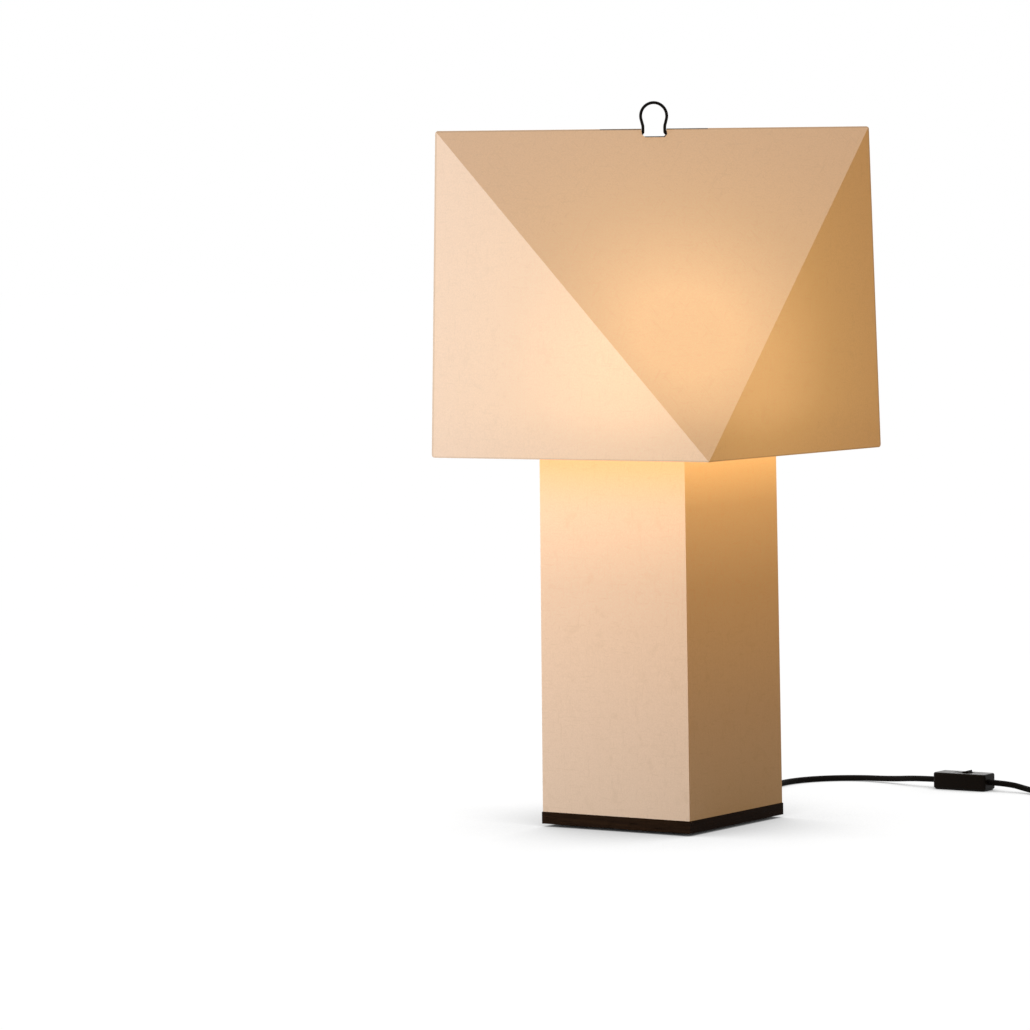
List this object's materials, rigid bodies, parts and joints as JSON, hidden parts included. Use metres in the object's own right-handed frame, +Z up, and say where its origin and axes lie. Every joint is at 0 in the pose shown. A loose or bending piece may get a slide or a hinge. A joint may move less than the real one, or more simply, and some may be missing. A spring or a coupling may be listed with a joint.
{
  "type": "table lamp with a folded paper shade",
  "caption": "Table lamp: folded paper shade with a wire loop on its ridge, square paper-faced column on a dark wood plate, textile-covered lead with an inline rocker switch.",
  "frame": {"origin": "on the table, under the middle of the base plate, level with the foot pads' underside", "axes": "+Z up, -Y out of the front face; the lead leaves the back face along +Y, and the shade's ridge runs along the diagonal from front left to back right"},
  "size_m": [0.4993, 0.6777, 0.7224],
  "materials": {
    "shade_paper": "matte fibrous paper, lets light through",
    "column_paper": "matte fibrous paper over board",
    "dark_wood": "dark stain, satin",
    "plain_wood": "sanded, untreated",
    "foot_rubber": "matte",
    "weight_steel": "rolled, unpainted",
    "screw_steel": "zinc plated",
    "thread_brass": "satin",
    "holder_plastic": "fine texture",
    "contact_ceramic": "unglazed",
    "bulb_cap_metal": "rolled thread",
    "bulb_opal": "opal, frosted",
    "harp_metal": "satin lacquer",
    "ridge_metal": "satin lacquer",
    "hem_metal": "pale coating",
    "loop_metal": "satin lacquer",
    "bush_rubber": "matte",
    "lead_textile": "braided textile cover",
    "switch_plastic": "polished",
    "plug_plastic": "fine texture",
    "pin_metal": "nickel plated",
    "tie_strap": "woven strap"
  },
  "bodies": {
    "base": {"foot_pads": "foot_rubber", "base_plate": "dark_wood", "foot_frame": "plain_wood", "frame_screws": "screw_steel", "ballast_plate": "weight_steel", "ballast_screws": "screw_steel", "column_sleeve": "column_paper", "column_posts": "plain_wood", "top_board": "plain_wood", "board_screws": "screw_steel", "nipple": "thread_brass", "nipple_nuts": "thread_brass", "nipple_washer": "screw_steel", "lampholder_cap": "holder_plastic", "lampholder_shell": "holder_plastic", "lampholder_insert": "contact_ceramic", "lampholder_screw_shell": "thread_brass", "harp_saddle": "harp_metal", "harp": "harp_metal", "harp_crosshead": "harp_metal", "cord_bush": "bush_rubber", "cord_clamp": "screw_steel", "clamp_screws": "screw_steel", "inner_lead": "lead_textile", "cord_to_switch": "lead_textile", "switch_lower_shell": "switch_plastic", "switch_upper_shell": "switch_plastic", "switch_screws": "screw_steel", "rocker_pin": "screw_steel", "cord_to_coil": "lead_textile", "cord_coil": "lead_textile", "coil_tie": "tie_strap", "cord_to_plug": "lead_textile", "plug_body": "plug_plastic", "plug_pins": "pin_metal"},
    "bulb": {"bulb_cap": "bulb_cap_metal", "bulb_globe": "bulb_opal"},
    "shade": {"shade_front_sheet": "shade_paper", "shade_back_sheet": "shade_paper", "ridge_strip": "ridge_metal", "hem_frame": "hem_metal"},
    "loop": {"lift_loop": "loop_metal"},
    "rocker": {"switch_rocker": "switch_plastic"}
  },
  "joints": [
    {"name": "shade_lift", "type": "slide", "parent": "base", "child": "shade", "axis": [0, 0, 1], "range_m": [0, 0.33]},
    {"name": "loop_swing", "type": "hinge", "parent": "shade", "child": "loop", "pos_m": [0, 0, 0.69], "axis": [0.7071, 0.7071, 0], "range_deg": [-85, 85]},
    {"name": "bulb_turn", "type": "hinge", "parent": "base", "child": "bulb", "pos_m": [0, 0, 0.38], "axis": [0, 0, 1], "continuous": true},
    {"name": "rocker_tilt", "type": "hinge", "parent": "base", "child": "rocker", "pos_m": [0.133, 0.38, 0.012], "axis": [0, 1, 0], "range_deg": [0, 20]}
  ]
}
